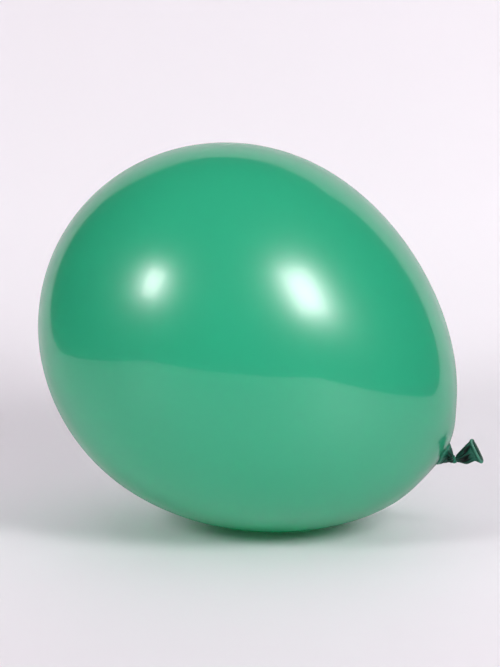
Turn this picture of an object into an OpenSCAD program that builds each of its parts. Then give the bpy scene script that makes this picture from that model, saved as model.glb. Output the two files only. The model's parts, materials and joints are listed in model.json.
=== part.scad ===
// Round latex party balloon, inflated, tied with an overhand knot and lying on its side.
// Origin: centre of the flat contact patch under the balloon.
// +Z is up. The long axis lies in the XZ plane and leans below +X towards the knot.
// Films are drawn thicker than real inflated latex so that they stay solid.

/* [Envelope] */
// Largest diameter of the inflated envelope
envelope_d = 280; // [255:5:305]
// Length from the widest circle to the crown
crown_len = 146.4; // [132:0.2:160]
// Length from the widest circle to the neck
neck_len = 179.6; // [162:0.2:196]
// Fullness of the outline beside the widest circle, where 0.55 is an ellipse
belly_fullness = 0.50; // [0.45:0.01:0.56]
// Fullness of the outline beside the neck
neck_fullness = 0.49; // [0.44:0.01:0.56]
// Film drawn at the crown
film_crown = 0.25; // [0.25:0.01:0.4]
// Film drawn at the widest circle
film_belly = 0.30; // [0.25:0.01:0.5]
// Film drawn beside the neck, where the latex is stretched least
film_neck = 0.75; // [0.5:0.05:1.2]

/* [Rest] */
// Lean of the long axis below the horizontal
lean = 30.5; // [27:0.5:34]
// Depth by which the weight flattens the underside
flattening = 0.95; // [0.6:0.05:1.4]

/* [Neck] */
// Radius of the neck where it leaves the envelope
neck_r = 9; // [7.5:0.5:10]
// Length of the gathered neck outside the envelope
neck_h = 4.9; // [4.5:0.1:6.5]
// Radius of the gathered neck behind the knot
waist_r = 3.2; // [2.8:0.2:3.8]
// Offset of the neck above the envelope's long axis
neck_offset = 6.4; // [0:0.2:8]
// Number of pleats gathered into the neck
pleats = 11; // [7:1:15]
// Depth of a pleat at the waist
pleat_depth = 0.7; // [0.3:0.1:0.9]
// Film of the neck
neck_film = 0.8; // [0.6:0.1:1]

/* [Knot] */
// Distance between the pivots at the two ends of the knot
knot_len = 4.8; // [4.7:0.1:5.4]
// Rise of the knot away from the long axis
knot_rise = 22; // [10:0.5:26]
// Radius of the strand that wraps around the knot
loop_strand_r = 1.05; // [0.95:0.05:1.1]
// Radius of the ring that this strand makes
loop_ring_r = 2.05; // [2:0.05:2.2]
// Tilt of that ring across the knot
loop_tilt = 23; // [10:0.5:26]
// Largest radius of the strands inside the ring
core_r = 2.7; // [2.5:0.1:2.9]

/* [Tail] */
// Angle between the tail and the long axis
tail_angle = 57; // [50:1:65]
// Length of the tail's film, from its pivot to the rolled rim
tail_len = 15.2; // [13:0.2:17]
// Half width of the tail at the rolled rim
mouth_w = 9.2; // [8:0.1:10]
// Half thickness of the flattened tail at the rolled rim
mouth_t = 2.2; // [2:0.1:2.6]
// Film of the tail
tail_film = 0.5; // [0.4:0.05:0.6]
// Radius of the rolled rim's bead
bead_r = 1.2; // [1:0.05:1.3]

/* [Fits] */
// Running clearance between pieces that move on each other
clearance = 0.3; // [0.25:0.05:0.4]
// Clearance between pieces of the knot and tail that stay together
seat_gap = 0.08; // [0.05:0.01:0.1]

/* [Hidden] */

// Smoothness
outline_steps = 36;
support_steps = 360;
envelope_fn = 180;
knot_fn = 72;
strand_fn = 48;
bell_steps = 10;
core_steps = 8;
tail_steps = 11;
tail_sides = 48;
rim_steps = 60;
bead_sides = 14;

// Envelope and neck
envelope_r = envelope_d / 2;
neck_skirt = 1.5;
neck_cap = 1;
bell_power = 1.6;
inner_pleat = 0.6;

// Ball at the neck's tip and at the tail's root, on which the knot turns
pivot_r = 1.2;
neck_ball_turns = [-50:20:70];
tail_ball_turns = [-80:20:40];
shoulder_h = 0.6;
waist_z = neck_h + shoulder_h + pivot_r;

// Strands inside the knot
core_end_gap = 0.55;
core_taper = 0.68;

// Tail: a stalk that opens into a flattened funnel
stalk_r = 1.1;
stalk_len = 0.5;
solid_steps = 2;
width_power = 0.65;
thickness_power = 0.5;
tail_bulge = -0.5;
edge_spare = 0.15;
mouth_edge = bead_r + tail_film / 2 + edge_spare;

sheet = "mediumseagreen";
thick_latex = "darkgreen";

// Point at share t of the cubic curve from a to d.
function bezier(a, b, c, d, t) =
    pow(1 - t, 3) * a + 3 * pow(1 - t, 2) * t * b + 3 * (1 - t) * t * t * c + pow(t, 3) * d;

// Point [radius, height] at share t of the half outline between the widest circle and the neck.
function neck_half(radius, length, t) = bezier(
    [radius, 0],
    [radius, belly_fullness * length],
    [neck_fullness * radius, length],
    [0, length],
    t);

// Half outline of the envelope as [radius, height] points, from the crown to the neck.
function outline(radius, crown, neck) = concat(
    [for (i = [0:outline_steps - 1])
        let (turn = 90 * i / outline_steps) [radius * sin(turn), -crown * cos(turn)]],
    [for (i = [0:outline_steps]) neck_half(radius, neck, i / outline_steps)]);

// How far a point of the leaning outline reaches below the centre of the widest circle.
function drop_of(p) = p[1] * sin(lean) + p[0] * cos(lean);

// The lowest point of the leaning outline, where the balloon rests.
neck_points = [for (i = [0:support_steps]) neck_half(envelope_r, neck_len, i / support_steps)];
lowest_drop = max([for (p = neck_points) drop_of(p)]);
lowest = [for (p = neck_points) if (drop_of(p) == lowest_drop) p][0];
centre_x = lowest[0] * sin(lean) - lowest[1] * cos(lean);
centre_z = lowest_drop - flattening;

// Frame of the long axis: local Z runs to the neck, local X points up and Y to the front.
module on_axis() {
    translate([centre_x, 0, centre_z]) rotate([0, 90 + lean, 0]) rotate([0, 0, 180]) children();
}

// Frame of the neck, at its base on the envelope.
module on_neck() {
    on_axis() translate([neck_offset, 0, neck_len]) children();
}

// Frame of the knot: origin at its middle, local Z from the neck's pivot to the tail's pivot.
module on_knot() {
    on_neck() translate([0, 0, waist_z]) rotate([0, knot_rise, 0])
        translate([0, 0, knot_len / 2]) children();
}

// Frame of the tail: origin at its pivot, local Z to the mouth, local X across the flat tail.
module on_tail() {
    on_knot() translate([0, 0, knot_len / 2]) rotate([0, tail_angle - knot_rise, 0]) children();
}

// Everything above a level plane.
module above(level) {
    reach = 2 * (envelope_d + crown_len + neck_len);
    translate([-reach / 2, -reach / 2, level]) cube(reach);
}

// Closed solid through rings of points. The first and last ring are closed by fans.
module skin(rings) {
    count = len(rings[0]);
    last = len(rings) - 1;
    middles = [for (r = [rings[0], rings[last]]) [for (k = [0:2]) sum_of(r, k) / count]];
    points = concat([for (r = rings) each r], middles);
    sides = [for (i = [0:last - 1], j = [0:count - 1])
        each quad(i * count + j, i * count + (j + 1) % count, count)];
    start_fan = [for (j = [0:count - 1]) [(j + 1) % count, j, len(points) - 2]];
    end_fan = [for (j = [0:count - 1])
        [last * count + j, last * count + (j + 1) % count, len(points) - 1]];
    polyhedron(points, [for (f = concat(sides, start_fan, end_fan)) [f[2], f[1], f[0]]]);
}

// Closed loop of rings, such as a rolled edge.
module ring_skin(rings) {
    count = len(rings[0]);
    total = len(rings) * count;
    points = [for (r = rings) each r];
    faces = [for (i = [0:len(rings) - 1], j = [0:count - 1])
        each quad(i * count + j, i * count + (j + 1) % count, count)];
    polyhedron(points, [for (f = faces) [f[2] % total, f[1] % total, f[0] % total]]);
}

// Two triangles between neighbours a and b of one ring and the same points of the next.
function quad(a, b, next) = [[a, b, b + next], [a, b + next, a + next]];

// Sum of coordinate k over a list of points.
function sum_of(list, k) = [for (p = list) p[k]] * [for (p = list) 1];

// Turn on a flattened ring's core ellipse, w by t, closing the points up towards its two tips.
function even_turn(w, t, j, sides) =
    let (a = 360 * j / sides) atan2(sqrt(t / w) * sin(a), cos(a));

// Outward direction at a turn of an ellipse with half axes w and t.
function outward(w, t, turn) =
    let (n = [t * cos(turn), w * sin(turn), 0]) n / norm(n);

// Flattened ring with half width w, half thickness t and tips rounded to the radius edge.
function oval(w, t, edge, height, shift = 0) = [for (j = [0:tail_sides - 1])
    let (core_w = w - edge, core_t = t - edge, turn = even_turn(core_w, core_t, j, tail_sides))
    [shift + core_w * cos(turn), core_t * sin(turn), height]
        + edge * outward(core_w, core_t, turn)];

module envelope() {
    color(sheet) difference() {
        intersection() {
            on_axis() rotate_extrude($fn = envelope_fn)
                polygon(outline(envelope_r, crown_len, neck_len));
            above(0);
        }
        intersection() {
            on_axis() rotate_extrude($fn = envelope_fn)
                polygon(outline(envelope_r - film_belly, crown_len - film_crown,
                    neck_len - film_neck));
            above(film_belly);
        }
        on_neck() translate([0, 0, -neck_r])
            cylinder(r = neck_r + clearance, h = 2 * neck_r, $fn = knot_fn);
    }
}

// Radius of the gathered neck at share s of its height, a bell that closes to the waist.
function neck_radius(s) = waist_r + (neck_r - waist_r) * (1 - pow(s, bell_power));

// Pleated ring of the neck.
function pleated(radius, depth, height) = let (sides = 6 * pleats) [for (j = [0:sides - 1])
    let (a = 360 * j / sides, r = radius - depth * (0.5 - 0.5 * cos(pleats * a)))
    [r * cos(a), r * sin(a), height]];

module neck() {
    inside_h = neck_h - neck_cap;
    inner = [for (i = [bell_steps:-1:1]) let (s = i / bell_steps, h = s * inside_h)
        pleated(neck_radius(h / neck_h) - neck_film, inner_pleat * pleat_depth * s * s, h)];
    skirt_in = pleated(neck_r - neck_film, 0, -neck_skirt);
    skirt_out = pleated(neck_r, 0, -neck_skirt);
    outer = [for (i = [1:bell_steps]) let (s = i / bell_steps)
        pleated(neck_radius(s), pleat_depth * s, s * neck_h)];
    ball = [for (turn = neck_ball_turns)
        pleated(pivot_r * cos(turn), 0, waist_z + pivot_r * sin(turn))];
    color(thick_latex) on_neck()
        skin(concat(inner, [skirt_in, skirt_out], outer, ball));
}

// Ring of the strand that wraps around the knot, its section grown by extra.
module strand_ring(extra) {
    rotate([0, loop_tilt, 0]) rotate_extrude($fn = knot_fn)
        translate([loop_ring_r, 0]) circle(r = loop_strand_r + extra, $fn = strand_fn);
}

module knot_loop() {
    color(thick_latex) on_knot() strand_ring(0);
}

module knot_core() {
    half_len = knot_len / 2 - core_end_gap;
    end_r = core_taper * core_r;
    side = [for (i = [0:core_steps]) let (x = 2 * i / core_steps - 1)
        [end_r + (core_r - end_r) * sqrt(1 - x * x), half_len * x]];
    color(thick_latex) on_knot() difference() {
        rotate_extrude($fn = knot_fn)
            polygon(concat([[0, -half_len]], side, [[0, half_len]]));
        for (z = [-1, 1] * knot_len / 2)
            translate([0, 0, z]) sphere(r = pivot_r + clearance, $fn = strand_fn);
        strand_ring(seat_gap);
    }
}

// Half width and half thickness of the funnel at share s from its stalk to the mouth.
function tail_w(s) = stalk_r + (mouth_w - stalk_r) * pow(s, width_power);
function tail_t(s) = stalk_r + (mouth_t - stalk_r) * pow(s, thickness_power);

// Ring of the funnel at share s of its length, drawn in by inset.
function tail_ring(s, inset) = let (stalk_z = pivot_r + stalk_len)
    oval(tail_w(s) - inset, tail_t(s) - inset, mouth_edge * tail_t(s) / mouth_t - inset,
        stalk_z + s * (tail_len - stalk_z), tail_bulge * sin(180 * s));

module tail() {
    ball = [for (turn = tail_ball_turns) let (r = pivot_r * cos(turn))
        oval(r, r, r / 2, pivot_r * sin(turn))];
    outer = [for (i = [0:tail_steps]) tail_ring(i / tail_steps, 0)];
    inner = [for (i = [tail_steps:-1:solid_steps]) tail_ring(i / tail_steps, tail_film)];
    color(thick_latex) on_tail() skin(concat(ball, outer, inner));
}

module rolled_rim() {
    edge = mouth_edge - tail_film / 2;
    core_w = mouth_w - mouth_edge;
    core_t = mouth_t - mouth_edge;
    bead_z = tail_len + bead_r + seat_gap;
    rings = [for (i = [0:rim_steps - 1])
        let (
            turn = even_turn(core_w, core_t, i, rim_steps),
            out = outward(core_w, core_t, turn),
            middle = [core_w * cos(turn), core_t * sin(turn), bead_z] + edge * out
        )
        [for (j = [0:bead_sides - 1]) let (b = 360 * j / bead_sides)
            middle + bead_r * (cos(b) * out - [0, 0, sin(b)])]];
    color(thick_latex) on_tail() ring_skin(rings);
}

envelope();
neck();
knot_loop();
knot_core();
tail();
rolled_rim();
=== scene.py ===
"""A tied, inflated latex balloon lying on a pale table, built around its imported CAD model.

Lengths in the functions are millimetres and are turned into metres where a mesh is made.
"""

import json
import math

import bpy
import numpy as np
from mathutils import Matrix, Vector


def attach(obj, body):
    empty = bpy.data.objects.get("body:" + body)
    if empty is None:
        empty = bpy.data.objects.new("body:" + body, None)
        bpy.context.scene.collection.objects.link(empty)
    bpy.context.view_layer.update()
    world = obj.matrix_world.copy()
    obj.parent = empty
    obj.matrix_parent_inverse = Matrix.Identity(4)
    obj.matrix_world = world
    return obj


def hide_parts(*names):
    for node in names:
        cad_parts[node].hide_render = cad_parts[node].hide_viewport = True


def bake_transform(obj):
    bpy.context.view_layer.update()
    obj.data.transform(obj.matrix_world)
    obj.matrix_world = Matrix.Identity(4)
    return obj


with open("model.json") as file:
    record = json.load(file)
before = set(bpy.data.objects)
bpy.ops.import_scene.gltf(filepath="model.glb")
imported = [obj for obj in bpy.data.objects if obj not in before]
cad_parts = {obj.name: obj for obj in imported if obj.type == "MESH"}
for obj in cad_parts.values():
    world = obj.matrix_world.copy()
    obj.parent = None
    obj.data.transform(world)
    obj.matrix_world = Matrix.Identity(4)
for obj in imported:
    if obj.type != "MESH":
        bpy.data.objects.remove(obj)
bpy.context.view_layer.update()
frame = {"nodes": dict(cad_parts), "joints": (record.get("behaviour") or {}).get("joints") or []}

MM = 0.001

# ---------------------------------------------------------------- frame of the balloon

joints = {j["name"]: j for j in frame["joints"]}


def unit(values):
    """A direction as a unit vector."""
    v = np.array(values, float)
    return v / np.linalg.norm(v)


def joint_point(name):
    """A joint's pivot, in millimetres."""
    return np.array(joints[name]["pos_m"], float) / MM


UP_SIDE = unit(joints["neck_swing"]["axis"])
FRONT = unit(joints["knot_nod"]["axis"])
ALONG = np.cross(UP_SIDE, FRONT)
NECK_BASE = joint_point("neck_swing")
WAIST = joint_point("knot_nod")
TAIL_ROOT = joint_point("tail_flap")
TAIL_ACROSS = unit(joints["tail_flap"]["axis"])
TAIL_OUT = np.cross(TAIL_ACROSS, FRONT)
KNOT_OUT = unit(TAIL_ROOT - WAIST)
KNOT_ACROSS = np.cross(FRONT, KNOT_OUT)


def node_points(node):
    """The vertices of a CAD node, in millimetres."""
    mesh = frame["nodes"][node].data
    co = np.zeros(len(mesh.vertices) * 3)
    mesh.vertices.foreach_get("co", co)
    return co.reshape(-1, 3) / MM


NECK_OFFSET = 6.4
envelope_points = node_points("envelope")
ENVELOPE_R = float(np.abs(envelope_points @ FRONT).max())
WIDEST = envelope_points[np.argmax(envelope_points @ FRONT)]
NECK_LEN = float((NECK_BASE - WIDEST) @ ALONG)
CROWN_LEN = float((WIDEST - envelope_points[np.argmin(envelope_points @ ALONG)]) @ ALONG)
CENTRE = NECK_BASE - NECK_LEN * ALONG - NECK_OFFSET * UP_SIDE


class Axes:
    """A local frame: x, y and z run along three unit directions from an origin."""

    def __init__(self, origin, x, y, z):
        self.origin = np.array(origin, float)
        self.rows = np.array([x, y, z], float)

    def world(self, points):
        """Points in this frame, in millimetres, as row-frame points in metres."""
        return (self.origin + np.asarray(points, float) @ self.rows) * MM


BODY = Axes(CENTRE, UP_SIDE, FRONT, ALONG)
NECK = Axes(NECK_BASE, UP_SIDE, FRONT, ALONG)
KNOT = Axes((WAIST + TAIL_ROOT) / 2, KNOT_ACROSS, FRONT, KNOT_OUT)
TAIL = Axes(TAIL_ROOT, TAIL_ACROSS, FRONT, TAIL_OUT)

# ---------------------------------------------------------------- small tools


def smooth(x, low, high):
    """0 below low, 1 above high, and a smooth step between them."""
    t = np.clip((np.asarray(x, float) - low) / (high - low), 0, 1)
    return t * t * (3 - 2 * t)


def hump(x, middle, width):
    """A bell of height 1 around middle."""
    return np.exp(-(((np.asarray(x, float) - middle) / width) ** 2))


def mesh_object(name, points, faces, values=None):
    """A smooth-shaded mesh object, with one float attribute for each item in values."""
    mesh = bpy.data.meshes.new(name)
    mesh.from_pydata([tuple(p) for p in points], [], faces)
    mesh.validate()
    for key, numbers in (values or {}).items():
        attribute = mesh.attributes.new(key, "FLOAT", "POINT")
        attribute.data.foreach_set("value", np.asarray(numbers, np.float32))
    mesh.shade_smooth()
    obj = bpy.data.objects.new(name, mesh)
    bpy.context.scene.collection.objects.link(obj)
    return obj


def ring_faces(rings, sides, loop=False):
    """Quads between rings of points, each ring closed on itself."""
    pairs = range(rings if loop else rings - 1)
    return [
        (
            i * sides + j,
            i * sides + (j + 1) % sides,
            ((i + 1) % rings) * sides + (j + 1) % sides,
            ((i + 1) % rings) * sides + j,
        )
        for i in pairs
        for j in range(sides)
    ]


def skin(name, axes, rings, values=None, loop=False):
    """A closed mesh through rings of local points. Without loop, both ends are capped by a fan."""
    rings = np.asarray(rings, float)
    count, sides = rings.shape[:2]
    points = rings.reshape(-1, 3)
    faces = ring_faces(count, sides, loop)
    values = {k: np.asarray(v, float).reshape(-1) for k, v in (values or {}).items()}
    if not loop:
        ends = rings[[0, -1]].mean(axis=1)
        first, last = len(points), len(points) + 1
        points = np.vstack([points, ends])
        faces += [((j + 1) % sides, j, first) for j in range(sides)]
        base = (count - 1) * sides
        faces += [(base + j, base + (j + 1) % sides, last) for j in range(sides)]
        values = {
            k: np.append(v, [v[:sides].mean(), v[-sides:].mean()]) for k, v in values.items()
        }
    return mesh_object(name, axes.world(points), faces, values)


def waves(angle, terms):
    """A sum of cosines, each term being (waves around, phase in degrees, size)."""
    return sum(size * np.cos(k * angle + math.radians(phase)) for k, phase, size in terms)


# ---------------------------------------------------------------- envelope

BELLY_FULLNESS, NECK_FULLNESS = 0.50, 0.49
FILM = 0.3
NECK_R = 9.0
CREASE_REACH = 7.0
# Radius within which the film bends over to the neck, which stands above the long axis.
OFFSET_REACH = 44.0
# Radial creases around the neck: (creases around, phase in degrees, height).
CREASES = ((7, 20, 0.25), (11, 75, 0.175), (17, 10, 0.1))
ENVELOPE_SIDES = 240
# The underside turns up softly around its flat patch.
PATCH_SOFTNESS = 0.4
# Radius of the thicker spot of film at the crown, and how far the neck's darker film reaches.
CROWN_SPOT_R, NECK_TINT_REACH = 9.0, 12.0


def outline(radius, crown, neck, crown_steps, neck_steps):
    """[radius, height] points from the crown to the neck end of a leaning egg."""
    turn = np.linspace(0, math.pi / 2, crown_steps, endpoint=False)
    crown_half = np.stack([radius * np.sin(turn), -crown * np.cos(turn)], 1)
    t = (1 - np.cos(np.linspace(0, math.pi, neck_steps))) / 2
    handles = np.array(
        [[radius, 0], [radius, BELLY_FULLNESS * neck], [NECK_FULLNESS * radius, neck], [0, neck]]
    )
    shares = np.stack([(1 - t) ** 3, 3 * (1 - t) ** 2 * t, 3 * (1 - t) * t**2, t**3], 1)
    return np.vstack([crown_half, shares @ handles])


def crease(angle, distance):
    """Height of the creases that run out from the neck, at a distance from its middle."""
    fade = np.exp(-np.clip(distance - NECK_R, 0, None) / CREASE_REACH)
    return waves(angle, CREASES) * fade


def envelope_rings(profile):
    """Rings of the envelope, moved towards the neck's own middle and creased around it."""
    angle = np.linspace(0, 2 * math.pi, ENVELOPE_SIDES, endpoint=False)
    rings = []
    for radius, height in profile:
        shift = NECK_OFFSET * (1 - smooth(radius, NECK_R, OFFSET_REACH)) if height > 0 else 0.0
        ring = np.stack(
            [shift + radius * np.cos(angle), radius * np.sin(angle), 0 * angle + height], 1
        )
        if height > 0:
            ring[:, 2] += crease(angle, radius)
        rings.append(ring)
    return np.array(rings)


def rest_on_table(points, softness):
    """Presses the underside flat on the table, with a soft edge around the patch."""
    z = points[:, 2]
    near = z < 20 * softness
    points[near, 2] = (z[near] + np.sqrt(z[near] ** 2 + softness**2)) / 2
    return points


def make_envelope():
    """The air-filled film: an outer and an inner skin, joined around the open neck."""
    outer = outline(ENVELOPE_R, CROWN_LEN, NECK_LEN, crown_steps=80, neck_steps=110)
    inner = outline(
        ENVELOPE_R - FILM, CROWN_LEN - FILM, NECK_LEN - FILM, crown_steps=40, neck_steps=50
    )
    outer = outer[(outer[:, 0] > NECK_R - 1) | (outer[:, 1] < 0)][1:]
    inner = inner[(inner[:, 0] > NECK_R - 1) | (inner[:, 1] < 0)][1:][::-1]
    rings = np.concatenate([envelope_rings(outer), envelope_rings(inner)])
    height = rings[..., 2]
    radius = np.hypot(rings[..., 0], rings[..., 1])
    beyond = np.clip(height / NECK_LEN, 0, 1)
    near_neck = np.exp(-np.clip(radius - NECK_R, 0, None) / NECK_TINT_REACH) * (height > 0)
    thickness_and_shade = 0.10 * beyond**3 + 0.35 * near_neck
    crown = hump(radius, 0.0, CROWN_SPOT_R) * (height < 0)
    inside = np.zeros(radius.shape)
    inside[len(outer):] = 1
    obj = skin("envelope_film", BODY, rings, {"thickness_and_shade": thickness_and_shade, "crown": crown, "inside": inside})
    points = np.array([v.co for v in obj.data.vertices])
    rest_on_table(points, PATCH_SOFTNESS * MM)
    obj.data.vertices.foreach_set("co", points.reshape(-1))
    obj.data.update()
    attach(obj, "balloon")
    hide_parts("envelope")
    return obj


# ---------------------------------------------------------------- neck

WAIST_H = float((WAIST - NECK_BASE) @ ALONG)
WAIST_R = 3.5
FOOT_R = 9.2
PLEATS, FINE_PLEATS, PLEAT_DEPTH = 11, 30, 1.3
# Turn of the pleats, in radians, from the foot to the knot.
NECK_TWIST = 0.6
# The neck's end draws in and stops short at the front, where the knot lies over it.
FRONT_DRAW, FRONT_SHORT = 0.45, 2.2


def make_neck():
    """The gathered neck: a flared foot on the envelope, then pleats that close to the knot."""
    sides = 264
    bell_h = WAIST_H + 0.2
    foot = [(FOOT_R + 0.5, -0.6), (FOOT_R + 0.2, -0.3), (FOOT_R, 0.0), (FOOT_R - 0.1, 0.25)]
    bell = [
        (WAIST_R + (FOOT_R - WAIST_R) * (1 - s**1.2), 0.5 + s * (bell_h - 0.5))
        for s in np.linspace(0, 1, 34)
    ]
    plug = [(2.9, bell_h + 0.25), (2.4, bell_h + 0.5), (1.8, bell_h + 0.7), (0.9, bell_h + 0.8)]
    angle = np.linspace(0, 2 * math.pi, sides, endpoint=False)
    rings, thickness_and_shade = [], []
    for radius, height in foot + bell + plug:
        up = smooth(height, -0.2, bell_h)
        turn = angle + NECK_TWIST * up
        fold = np.abs(np.cos(PLEATS / 2 * turn + 0.5 * np.sin(2 * turn))) ** 0.8
        fine = np.abs(np.cos(FINE_PLEATS / 2 * turn + 1.2 * np.sin(3 * turn)))
        valley = 0.72 * fold + 0.28 * fine
        depth = PLEAT_DEPTH * smooth(height, -0.2, 2.5) * smooth(radius, 0.8, 4.5)
        in_front = smooth(np.sin(angle), 0.1, 0.9) * up
        r = (radius - depth * valley) * (1 - FRONT_DRAW * in_front)
        lift = crease(angle, radius) * (1 - smooth(height, -0.4, 1.0)) - FRONT_SHORT * in_front
        rings.append(np.stack([r * np.cos(angle), r * np.sin(angle), height + lift], 1))
        # Painted shade: the pleat valleys darken towards the knot.
        pleat_shade = smooth(up, 0.1, 0.8) * smooth(valley, 0.4, 0.95)
        thickness_and_shade.append(0.38 + 0.14 * smooth(height, 0.0, 5.0) + 0.45 * pleat_shade)
    obj = skin("neck_pleats", NECK, rings, {"thickness_and_shade": thickness_and_shade})
    NECK.world([0, 0, 0.2])
    NECK.world([0, 0, bell_h])
    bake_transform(obj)
    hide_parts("neck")
    return obj


# ---------------------------------------------------------------- knot


GROOVE_DEPTH = 0.17


def strand(name, path, radii, sides, ridges, flat, twist, tone):
    """A bundle of gathered latex swept along a path, with ridges along it and closed ends."""
    path = np.asarray(path, float)
    tangent = np.gradient(path, axis=0)
    tangent /= np.linalg.norm(tangent, axis=1, keepdims=True)
    normal = np.cross(tangent[0], [0.0, 1.0, 0.0])
    angle = np.linspace(0, 2 * math.pi, sides, endpoint=False)
    rings, depth = [], []
    for i, (point, direction, radius) in enumerate(zip(path, tangent, radii)):
        normal = normal - direction * (normal @ direction)
        normal /= np.linalg.norm(normal)
        side = np.cross(direction, normal)
        turn = angle + twist * i / len(path)
        groove = np.abs(np.cos(ridges / 2 * turn)) ** 0.7
        r = radius * (1 - GROOVE_DEPTH * groove)
        rings.append(
            point
            + (r * np.cos(angle))[:, None] * normal
            + (flat * r * np.sin(angle))[:, None] * side
        )
        # Painted shade: the grooves between the ridges are darkened, on top of the strand's tone.
        depth.append(tone + 0.6 * smooth(groove, 0.3, 1.0))
    return skin(name, KNOT, rings, {"thickness_and_shade": depth})


def rounded(count, radius, end):
    """Radii that are even along a strand and round off over a share of it at each end."""
    s = np.linspace(0, 1, count)
    edge = np.clip(np.minimum(s, 1 - s) / end, 0, 1)
    return radius * np.sqrt(1 - (1 - edge) ** 2 * 0.96)


# The wrapping strand leans by this many degrees, and runs this far from the bundle's middle.
WRAP_TILT = 23.0
WRAP_REACH = 2.15
WRAP_R = 1.2
# Where the wrapping strand starts and ends around the bundle, in degrees.
WRAP_FROM, WRAP_TO = -235, 215
# The gathered neck end balls up around the point on which the knot turns.
BALL_R = 2.9


def make_knot():
    """The overhand knot: a strand that wraps round, and the bundle that passes through it."""
    steps = 96
    turn = np.radians(np.linspace(WRAP_FROM, WRAP_TO, steps))
    s = np.linspace(-1, 1, steps)
    reach = WRAP_REACH - 1.0 * np.abs(s) ** 5
    tilt = math.radians(WRAP_TILT)
    x = reach * np.cos(turn)
    y = reach * np.sin(turn)
    z = 0.75 * s
    path = np.stack(
        [
            x * math.cos(tilt) + z * math.sin(tilt),
            y,
            -x * math.sin(tilt) + z * math.cos(tilt),
        ],
        1,
    )
    wrap = strand(
        "knot_wrap",
        path,
        rounded(steps, WRAP_R, 0.06),
        sides=40,
        ridges=7,
        flat=1.12,
        twist=2.0,
        tone=0.12,
    )
    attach(wrap, "knot")
    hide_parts("knot_loop")

    steps = 64
    half = float(np.linalg.norm(TAIL_ROOT - WAIST)) / 2
    along = np.linspace(-half - BALL_R + 0.05, half + 0.7, steps)
    sway = np.sin(along / half * 1.4)
    path = np.stack([0.2 * sway, 0.4 - 0.4 * smooth(along, -half, half), along], 1)
    ball = np.sqrt(np.clip(BALL_R**2 - (along + half) ** 2, 0, None))
    bundle = (1.7 + 0.6 * hump(along, 1.7, 0.8)) * smooth(along, -half - 1, -half + 1)
    bundle *= np.sqrt(np.clip(1 - (np.clip(along, 0, None) / (half + 0.75)) ** 8, 0.02, 1))
    radii = np.cbrt(ball**3 + bundle**3)
    core = strand("knot_bundle", path, radii, sides=60, ridges=9, flat=1.0, twist=1.2, tone=0.45)
    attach(core, "knot")
    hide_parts("knot_core")
    return [wrap, core]


# ---------------------------------------------------------------- tail

TAIL_LEN = 14.45
ROOT_LEN = 1.6
# Half the thickness of the flattened mouth.
MOUTH_T = 2.2
TAIL_FILM = 0.5
BEAD_R = 1.2
# Radius of the mouth's two rounded tips, large enough for the bead to turn there.
TIP_R = BEAD_R + TAIL_FILM / 2 + 0.15
# The front lip ends lower than the back one, which shows the far rim.
LIP_STEP = 0.65


def oval(half_w, half_t, tip, sides):
    """Points and outward directions of a flattened ring with tips rounded to the radius tip."""
    core_w, core_t = half_w - tip, half_t - tip
    even = np.linspace(0, 2 * math.pi, sides, endpoint=False)
    turn = np.arctan2(math.sqrt(core_t / core_w) * np.sin(even), np.cos(even))
    out = np.stack([core_t * np.cos(turn), core_w * np.sin(turn)], 1)
    out /= np.linalg.norm(out, axis=1, keepdims=True)
    points = np.stack([core_w * np.cos(turn), core_t * np.sin(turn)], 1) + tip * out
    return points, out


def tail_edges(z):
    """How far the upper and the lower edge of the flat tail stand from its axis."""
    share = np.clip(z / TAIL_LEN, 0, 1)
    start = smooth(z, -ROOT_LEN, 0.8)
    # The upper edge opens steadily. The lower one opens early, runs level, and flares at the end.
    upper = (1.2 + 2.0 * start) + 5.9 * share**0.9
    lower = 1.5 + 4.6 * smooth(z, -ROOT_LEN, 6.0) + 3.0 * smooth(z, 11.0, 15.2)
    return float(upper), float(lower)


def front_relief(across, s):
    """Inward depth of the front sheet's folds, by place across and share of the tail's length."""
    fade = smooth(s, 0.0, 0.12) * (1 - smooth(s, 0.6, 1.0))
    # Three broad folds, each as a depth and its place across and along, then a fan of fine ones.
    middle = 1.25 * hump(across, -0.16, 0.24) * hump(s, 0.38, 0.22)
    upper = 0.95 * hump(across, 0.60 - 0.25 * (0.8 - s), 0.15) * hump(s, 0.74, 0.26)
    lower = 0.45 * hump(across, -0.62, 0.10) * hump(s, 0.30, 0.30)
    fan = 0.22 * np.cos(15 * across + 0.8) + 0.12 * np.cos(27 * across + 2.1)
    return middle + upper + lower + fade * fan


def tail_ring(z, inset, sides):
    """Ring of the flattened tail at a height, drawn in by inset, and the painted shade of its
    folds, which darkens with how deep they lie.
    """
    s = min(max(z / TAIL_LEN, 0.0), 1.0)
    upper, lower = tail_edges(z)
    half_w = (upper + lower) / 2 - inset
    half_t = 1.3 + (MOUTH_T - 1.3) * s**0.5 - inset
    half_t = min(half_t, half_w)
    flat, _ = oval(half_w, half_t, half_t * TIP_R / MOUTH_T, sides)
    across = flat[:, 0] / half_w
    face = flat[:, 1] / half_t
    relief = front_relief(across, s)
    fade = smooth(s, 0.0, 0.12) * (1 - smooth(s, 0.6, 1.0))
    back = 0.25 * fade * np.cos(11 * across + 1.9)
    y = flat[:, 1] - relief * smooth(face, 0.0, 0.8) + back * smooth(-face, 0.0, 0.8)
    # The back sheet follows the deepest fold, and the whole tail cups a little.
    y = y - 0.55 * np.clip(relief, 0, None) * smooth(-face, 0.0, 0.8)
    y = y + 0.4 * math.sin(math.pi * s) * across
    x = flat[:, 0] + (upper - lower) / 2
    height = z - LIP_STEP * s**2 * face
    # Painted shade: the front sheet darkens where its folds sink in, and the back sheet in its own
    # troughs.
    fold_shade = np.where(face > 0, smooth(relief, 0.0, 0.6), smooth(-back, 0.0, 0.3) * 0.6)
    return np.stack([x, y, height], 1), fold_shade


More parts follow.
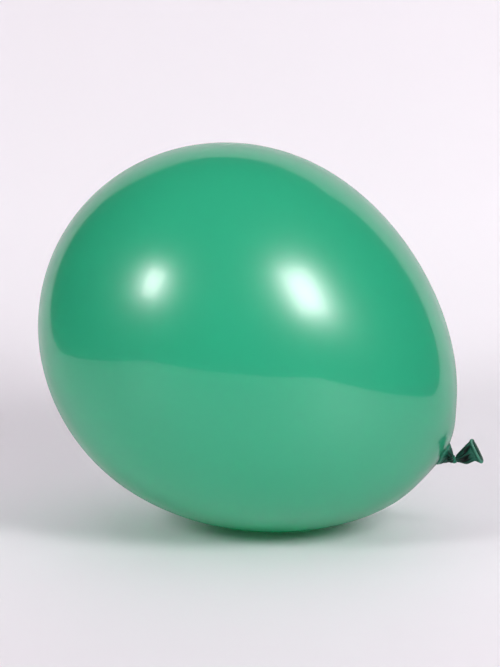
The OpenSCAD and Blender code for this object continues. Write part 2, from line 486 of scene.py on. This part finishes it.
def make_tail():
    """The flattened funnel of thicker latex, a thin wall folded at the knot and open at the mouth,
    with painted shade in its folds.
    """
    sides = 220
    # Rings stand closer together where the root rounds off.
    root = [-ROOT_LEN + ROOT_LEN * t for t in (0.0, 0.08, 0.2, 0.4, 0.65)]
    outer_at = np.concatenate([root, np.linspace(0, TAIL_LEN, 48)])
    inner_at = np.linspace(TAIL_LEN, 0.22 * TAIL_LEN, 28)
    rings, thickness_and_shade = [], []
    for at, inset in [(outer_at, 0.0), (inner_at, TAIL_FILM)]:
        for z in at:
            ring, fold = tail_ring(z, inset, sides)
            closing = math.sqrt(max(0.06, 1 - max(0.0, -z / ROOT_LEN) ** 4))
            ring[:, :2] *= closing
            rings.append(ring)
            # Darker towards the root, plus the painted shade of the folds.
            thickness_and_shade.append(0.66 - 0.36 * smooth(z, 7.0, 13.5) + 0.6 * fold)
    obj = skin("tail_funnel", TAIL, rings, {"thickness_and_shade": thickness_and_shade})
    TAIL.world([0, 0, -0.5])
    TAIL.world([0, 0, 3.5])
    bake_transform(obj)
    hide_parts("tail")
    return obj


def make_rim():
    """The rolled rim: film rolled on itself into a bead around the mouth."""
    path_steps, sides = 240, 28
    upper, lower = tail_edges(TAIL_LEN)
    half_w = (upper + lower) / 2 - TAIL_FILM / 2
    half_t = MOUTH_T - TAIL_FILM / 2
    flat, out = oval(half_w, half_t, TIP_R - TAIL_FILM / 2, path_steps)
    angle = np.linspace(0, 2 * math.pi, path_steps, endpoint=False)
    wave = 0.10 * np.cos(3 * angle + 0.6) + 0.06 * np.cos(5 * angle + 2.0)
    height = TAIL_LEN + BEAD_R + 0.05 + wave - LIP_STEP * flat[:, 1] / half_t
    middle = np.stack([flat[:, 0] + (upper - lower) / 2, flat[:, 1], height], 1)
    outward = np.stack([out[:, 0], out[:, 1], 0 * angle], 1)
    around = np.linspace(0, 2 * math.pi, sides, endpoint=False)
    rings, depth = [], []
    for i in range(path_steps):
        # The free edge of the roll shows as a groove on the inner side of the bead.
        groove = hump(np.abs(np.angle(np.exp(1j * (around - 2.5)))), 0.0, 0.28)
        crimp = 0.025 * math.cos(61 * angle[i]) + 0.02 * math.cos(37 * angle[i] + 1.0)
        r = BEAD_R * (1 - 0.16 * groove + crimp - 0.08 * smooth(out[i, 1], 0.0, 0.8))
        rings.append(
            middle[i]
            + (r * np.cos(around))[:, None] * outward[i]
            - (r * np.sin(around))[:, None] * np.array([0.0, 0.0, 1.0])
        )
        # Painted shade: the far side of the bead and the groove of the roll are darkened.
        far = 0.45 * smooth(-out[i, 1], 0.0, 0.8)
        depth.append(0.05 + 0.5 * groove + far)
    obj = skin("rolled_rim_bead", TAIL, rings, {"thickness_and_shade": depth}, loop=True)
    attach(obj, "tail")
    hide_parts("rolled_rim")
    return obj


# ---------------------------------------------------------------- materials


def srgb(r, g, b):
    """Linear colour of an 8-bit sRGB one."""
    def linear(c):
        c /= 255
        return c / 12.92 if c <= 0.04045 else ((c + 0.055) / 1.055) ** 2.4
    return (linear(r), linear(g), linear(b), 1.0)


class Tree:
    """Short-hand for building a material's nodes."""

    def __init__(self, name):
        self.material = bpy.data.materials.new(name)
        self.material.use_nodes = True
        self.nodes = self.material.node_tree.nodes
        self.links = self.material.node_tree.links
        self.nodes.clear()
        self.out = self.nodes.new("ShaderNodeOutputMaterial")

    def add(self, kind, settings=None, **inputs):
        """A node with its settings and inputs, an input being a value or another socket."""
        node = self.nodes.new(kind)
        for key, value in (settings or {}).items():
            setattr(node, key, value)
        for key, value in inputs.items():
            socket = node.inputs[key.replace("_", " ")]
            if isinstance(value, bpy.types.NodeSocket):
                self.links.new(value, socket)
            else:
                socket.default_value = value
        return node

    def mix(self, factor, a, b):
        """Mix of two colours."""
        node = self.nodes.new("ShaderNodeMix")
        node.data_type = "RGBA"
        for socket, value in ((node.inputs[0], factor), (node.inputs[6], a), (node.inputs[7], b)):
            if isinstance(value, bpy.types.NodeSocket):
                self.links.new(value, socket)
            else:
                socket.default_value = value
        return node.outputs[2]

    def remap(self, value, low, high, to_low=0.0, to_high=1.0):
        """A value moved from one range to another."""
        node = self.add("ShaderNodeMapRange")
        self.links.new(value, node.inputs["Value"])
        for key, number in (("From Min", low), ("From Max", high),
                            ("To Min", to_low), ("To Max", to_high)):
            node.inputs[key].default_value = number
        return node.outputs["Result"]

    def noise(self, scale, detail, place):
        """Noise over the object's own space."""
        node = self.add("ShaderNodeTexNoise")
        node.inputs["Scale"].default_value = scale
        node.inputs["Detail"].default_value = detail
        self.links.new(place, node.inputs["Vector"])
        return node.outputs["Fac"]

    def attribute(self, name):
        """A float stored on the mesh."""
        node = self.add("ShaderNodeAttribute", {"attribute_name": name})
        return node.outputs["Fac"]


FILM_GREEN = srgb(58, 206, 159)
FILM_DEEP = srgb(52, 197, 151)
THICK_GREEN = srgb(14, 78, 58)
# Painted shade for the deepest folds.
FOLD_SHADE_GREEN = srgb(6, 44, 33)
TAIL_GREEN = srgb(16, 78, 61)
# Painted shade in pleat valleys, knot grooves and tail folds, and the tail's darker root.
TAIL_DARK = srgb(3, 20, 15)
RIM_GREEN = srgb(64, 136, 112)
# Painted shade on the rim's far side and in the groove of its roll.
RIM_SHADE_GREEN = srgb(16, 66, 50)
# The inner skin of the film lets nearly all light on, so that only the outer one tints it.
INSIDE_TINT = (0.95, 0.97, 0.96, 1.0)
INSIDE_GLOW = 0.95
# Share of the thick colour in the spot at the crown.
CROWN_TINT = 0.55
LATEX_IOR, COAT_IOR = 1.5, 1.55


def latex(name, thin, deep, thick_and_shade_colour, fold, mottle, gloss, grain, glow=0.0):
    """Latex whose colour deepens with the film's thickness and with painted shade, both read from
    one attribute, glossy, with faint mottling.

    mottle is (noise scale, share of the deep colour). gloss is (lowest roughness, highest
    roughness, coat weight, coat roughness, specular level). grain is (noise scale, strength of
    the bump, its height in metres). glow is the share of light that thin film lets through.
    """
    cloud_scale, cloud_share = mottle
    least_rough, most_rough, coat, coat_roughness, specular = gloss
    grain_scale, grain_strength, grain_height = grain
    tree = Tree(name)
    place = tree.add("ShaderNodeTexCoord").outputs["Object"]
    cloud = tree.noise(cloud_scale, 4.0, place)
    colour = tree.mix(tree.remap(cloud, 0.2, 0.8, 0.0, cloud_share), thin, deep)
    thickness_and_shade = tree.attribute("thickness_and_shade")
    # The first step is thicker film on the envelope and painted shade on the rim; above 0.5 it is
    # mostly painted shade in pleat valleys, knot grooves, tail folds and the rim's far side, with
    # the tail's darker root.
    colour = tree.mix(tree.remap(thickness_and_shade, 0.0, 0.5), colour, thick_and_shade_colour)
    colour = tree.mix(tree.remap(thickness_and_shade, 0.5, 1.0), colour, fold)
    if glow:
        crown = tree.attribute("crown")
        colour = tree.mix(tree.remap(crown, 0.0, 1.0, 0.0, CROWN_TINT), colour, THICK_GREEN)
    fine = tree.noise(grain_scale, 3.0, place)
    bump = tree.add("ShaderNodeBump", Strength=grain_strength, Distance=grain_height)
    tree.links.new(fine, bump.inputs["Height"])
    rough = tree.remap(cloud, 0.3, 0.7, least_rough, most_rough)
    shader = tree.add(
        "ShaderNodeBsdfPrincipled",
        Base_Color=colour,
        Roughness=rough,
        Normal=bump.outputs["Normal"],
        Coat_Weight=coat,
        Coat_Roughness=coat_roughness,
        IOR=LATEX_IOR,
        Specular_IOR_Level=specular,
        Coat_IOR=COAT_IOR,
    )
    surface = shader.outputs[0]
    if glow:
        inside = tree.attribute("inside")
        tint = tree.mix(inside, colour, INSIDE_TINT)
        through = tree.add("ShaderNodeBsdfTranslucent", Color=tint)
        blend = tree.add("ShaderNodeMixShader")
        tree.links.new(tree.remap(inside, 0.0, 1.0, glow, INSIDE_GLOW), blend.inputs[0])
        tree.links.new(surface, blend.inputs[1])
        tree.links.new(through.outputs[0], blend.inputs[2])
        surface = blend.outputs[0]
    tree.links.new(surface, tree.out.inputs["Surface"])
    return tree.material


# The painted shade at the paper's front: the share of its colour kept there, where the shade starts
# and is full (in metres), and the paper's mottle.
FRONT_SHADE, SHADE_FROM, SHADE_FULL = 0.86, -0.12, -0.5
PAPER_MOTTLE = 0.985


def darker(colour, share):
    """A colour brought down to a share of itself."""
    return tuple(c * share for c in colour[:3]) + (1,)


def paper(name, colour, roughness):
    """The stage's matt surface, with painted shade that greys it towards the front edge."""
    tree = Tree(name)
    place = tree.add("ShaderNodeTexCoord").outputs["Object"]
    tone = tree.mix(tree.noise(3.0, 2.0, place), colour, darker(colour, PAPER_MOTTLE))
    split = tree.add("ShaderNodeSeparateXYZ")
    tree.links.new(place, split.inputs[0])
    # Painted shade: the paper darkens towards the front edge, as if less light fell there.
    front_shade = tree.remap(split.outputs["Y"], SHADE_FROM, SHADE_FULL)
    tone = tree.mix(front_shade, tone, darker(colour, FRONT_SHADE))
    shader = tree.add("ShaderNodeBsdfPrincipled", Base_Color=tone, Roughness=roughness)
    # The paper is one-sided: its back is clear, so that the balloon shows from behind too.
    open_back = tree.add("ShaderNodeMixShader")
    tree.links.new(tree.add("ShaderNodeNewGeometry").outputs["Backfacing"], open_back.inputs[0])
    tree.links.new(shader.outputs[0], open_back.inputs[1])
    tree.links.new(tree.add("ShaderNodeBsdfTransparent").outputs[0], open_back.inputs[2])
    tree.links.new(open_back.outputs[0], tree.out.inputs["Surface"])
    return tree.material


# ---------------------------------------------------------------- stage, lights and camera

CAMERA_AZIMUTH, CAMERA_HEIGHT, CAMERA_DISTANCE = 10.0, 10.0, 1700.0
# Height of what the camera takes in at the balloon.
FRAME_HEIGHT = 496.5
SENSOR = 36.0
CLIP_END = 20.0
# The camera looks at a point this far from the envelope's centre: along the balloon, then
# across and up the picture.
FIT_ALONG = 12.2
FRAME_RIGHT, FRAME_UP = 2.4, 6.3


def bearing(azimuth, elevation):
    """Unit vector from the balloon to something, azimuth 0 being straight ahead of the object."""
    a, e = math.radians(azimuth), math.radians(elevation)
    return np.array([math.sin(a) * math.cos(e), -math.cos(a) * math.cos(e), math.sin(e)])


def aim(obj, target):
    """Turns an object's -Z towards a point."""
    direction = Vector(target) - obj.location
    obj.rotation_euler = direction.to_track_quat("-Z", "Y").to_euler()


def make_camera():
    """A long lens at the height and side that show the tail and the far rim of its mouth."""
    data = bpy.data.cameras.new("camera")
    data.sensor_fit = "VERTICAL"
    data.sensor_height = SENSOR
    data.lens = SENSOR * CAMERA_DISTANCE / FRAME_HEIGHT
    data.clip_end = CLIP_END
    camera = bpy.data.objects.new("camera", data)
    bpy.context.scene.collection.objects.link(camera)
    back = bearing(CAMERA_AZIMUTH, CAMERA_HEIGHT)
    right = np.cross([0, 0, 1.0], back)
    right /= np.linalg.norm(right)
    up = np.cross(back, right)
    target = CENTRE + FIT_ALONG * ALONG + FRAME_RIGHT * right + FRAME_UP * up
    camera.location = Vector((target + CAMERA_DISTANCE * back) * MM)
    aim(camera, target * MM)
    bpy.context.scene.camera = camera


def area_light(name, azimuth, elevation, distance, size, watts):
    """A rectangular softbox that faces the balloon."""
    data = bpy.data.lights.new(name, "AREA")
    data.shape = "RECTANGLE"
    data.size, data.size_y = size[0] * MM, size[1] * MM
    data.energy = watts
    data.color = LAMP_TINT
    light = bpy.data.objects.new(name, data)
    bpy.context.scene.collection.objects.link(light)
    light.location = Vector((CENTRE + distance * bearing(azimuth, elevation)) * MM)
    light.visible_camera = False
    aim(light, CENTRE * MM)
    return light


# The sheet: the bearing that its front edge faces, half its width, its shift to the right, how
# far its front edge lies from the balloon, and how high its back edge stands.
SHEET_AZIMUTH, SHEET_HALF, SHEET_SHIFT = 5.0, 715.0, -35.0
SHEET_FRONT, SHEET_TOP = 830.0, 1180.0
# Its sweep: where it starts behind the balloon, its radius, and the backdrop's slope in degrees.
SWEEP_START, SWEEP_R, SWEEP_SLOPE = 150.0, 350.0, 60.0


def make_stage():
    """A sheet of white paper that lies under the balloon and sweeps up into a leaning backdrop."""
    front = bearing(SHEET_AZIMUTH, 0)
    right = np.cross([0, 0, 1.0], front)
    up = np.array([0, 0, 1.0])
    slope = math.radians(SWEEP_SLOPE)
    profile = [(SHEET_FRONT, 0.0)]
    profile += [
        (-SWEEP_START - SWEEP_R * math.sin(a), SWEEP_R * (1 - math.cos(a)))
        for a in np.linspace(0, slope, 17)
    ]
    depth, height = profile[-1]
    profile.append((depth - (SHEET_TOP - height) / math.tan(slope), SHEET_TOP))
    points = [
        (depth * front + (SHEET_SHIFT + side * SHEET_HALF) * right + height * up) * MM
        for depth, height in profile
        for side in (-1, 1)
    ]
    faces = [(2 * i, 2 * i + 1, 2 * i + 3, 2 * i + 2) for i in range(len(profile) - 1)]
    sheet = mesh_object("white_sheet", points, faces)
    sheet.data.materials.append(paper("white_paper", srgb(243, 238, 243), 0.6))


# Each lamp's "soft" and "shine" are the watts of its two lights, as softbox() says.
KEY = {"azimuth": 54.0, "elevation": 33.5, "size": (600, 880), "soft": 26.0, "shine": 122.0}
FILL = {"azimuth": -41.0, "elevation": 31.5, "size": (370, 570), "soft": 13.5, "shine": 62.0}
LAMP_DISTANCE = 2200.0
LAMP_TINT = (1.0, 0.985, 1.0)
# The ceiling's azimuth, elevation and distance, then its side and its watts.
CEILING_PLACE, CEILING_SIZE, CEILING_WATTS = (180.0, 72.0, 2500.0), 3000.0, 14.0
ROOM_COLOUR, ROOM_LIGHT = srgb(235, 228, 235), 0.45


def softbox(name, lamp):
    """A softbox whose bright face shows in the gloss, while little of its light spreads around."""
    place = (lamp["azimuth"], lamp["elevation"], LAMP_DISTANCE, lamp["size"])
    soft = area_light(name + "_soft", *place, lamp["soft"])
    soft.visible_glossy = False
    shine = area_light(name + "_shine", *place, lamp["shine"])
    shine.visible_diffuse = False
    shine.visible_transmission = False


def make_light():
    """Two softboxes in an evenly lit room that is too dark to show in the gloss."""
    softbox("key", KEY)
    softbox("fill", FILL)
    ceiling = area_light("ceiling", *CEILING_PLACE, (CEILING_SIZE, CEILING_SIZE), CEILING_WATTS)
    ceiling.visible_glossy = False
    world = bpy.data.worlds.new("room")
    bpy.context.scene.world = world
    world.use_nodes = True
    background = world.node_tree.nodes["Background"]
    background.inputs["Color"].default_value = ROOM_COLOUR
    background.inputs["Strength"].default_value = ROOM_LIGHT
    world.cycles_visibility.glossy = False
    bpy.context.scene.view_settings.view_transform = "Standard"


# ---------------------------------------------------------------- build

film = latex(
    "balloon_latex",
    FILM_GREEN,
    FILM_DEEP,
    THICK_GREEN,
    FOLD_SHADE_GREEN,
    mottle=(14.0, 0.5),
    gloss=(0.285, 0.335, 0.92, 0.04, 0.45),
    grain=(900.0, 0.04, 0.0002),
    glow=0.4,
)
gathered = latex(
    "gathered_latex_look",
    FILM_DEEP,
    TAIL_GREEN,
    TAIL_GREEN,
    TAIL_DARK,
    mottle=(300.0, 0.5),
    gloss=(0.34, 0.46, 0.08, 0.2, 0.20),
    grain=(1500.0, 0.12, 0.0002),
)
thick_latex = latex(
    "tail_latex_look",
    RIM_GREEN,
    TAIL_GREEN,
    TAIL_GREEN,
    TAIL_DARK,
    mottle=(220.0, 0.7),
    gloss=(0.34, 0.48, 0.07, 0.2, 0.18),
    grain=(1500.0, 0.12, 0.0002),
)
rim_latex = latex(
    "rim_latex_look",
    RIM_GREEN,
    TAIL_GREEN,
    RIM_SHADE_GREEN,
    TAIL_DARK,
    mottle=(260.0, 0.5),
    gloss=(0.36, 0.48, 0.10, 0.2, 0.25),
    grain=(1800.0, 0.15, 0.0002),
)

make_camera()
make_stage()
make_light()
make_envelope().data.materials.append(film)
make_neck().data.materials.append(gathered)
for piece in make_knot():
    piece.data.materials.append(gathered)
make_tail().data.materials.append(thick_latex)
make_rim().data.materials.append(rim_latex)
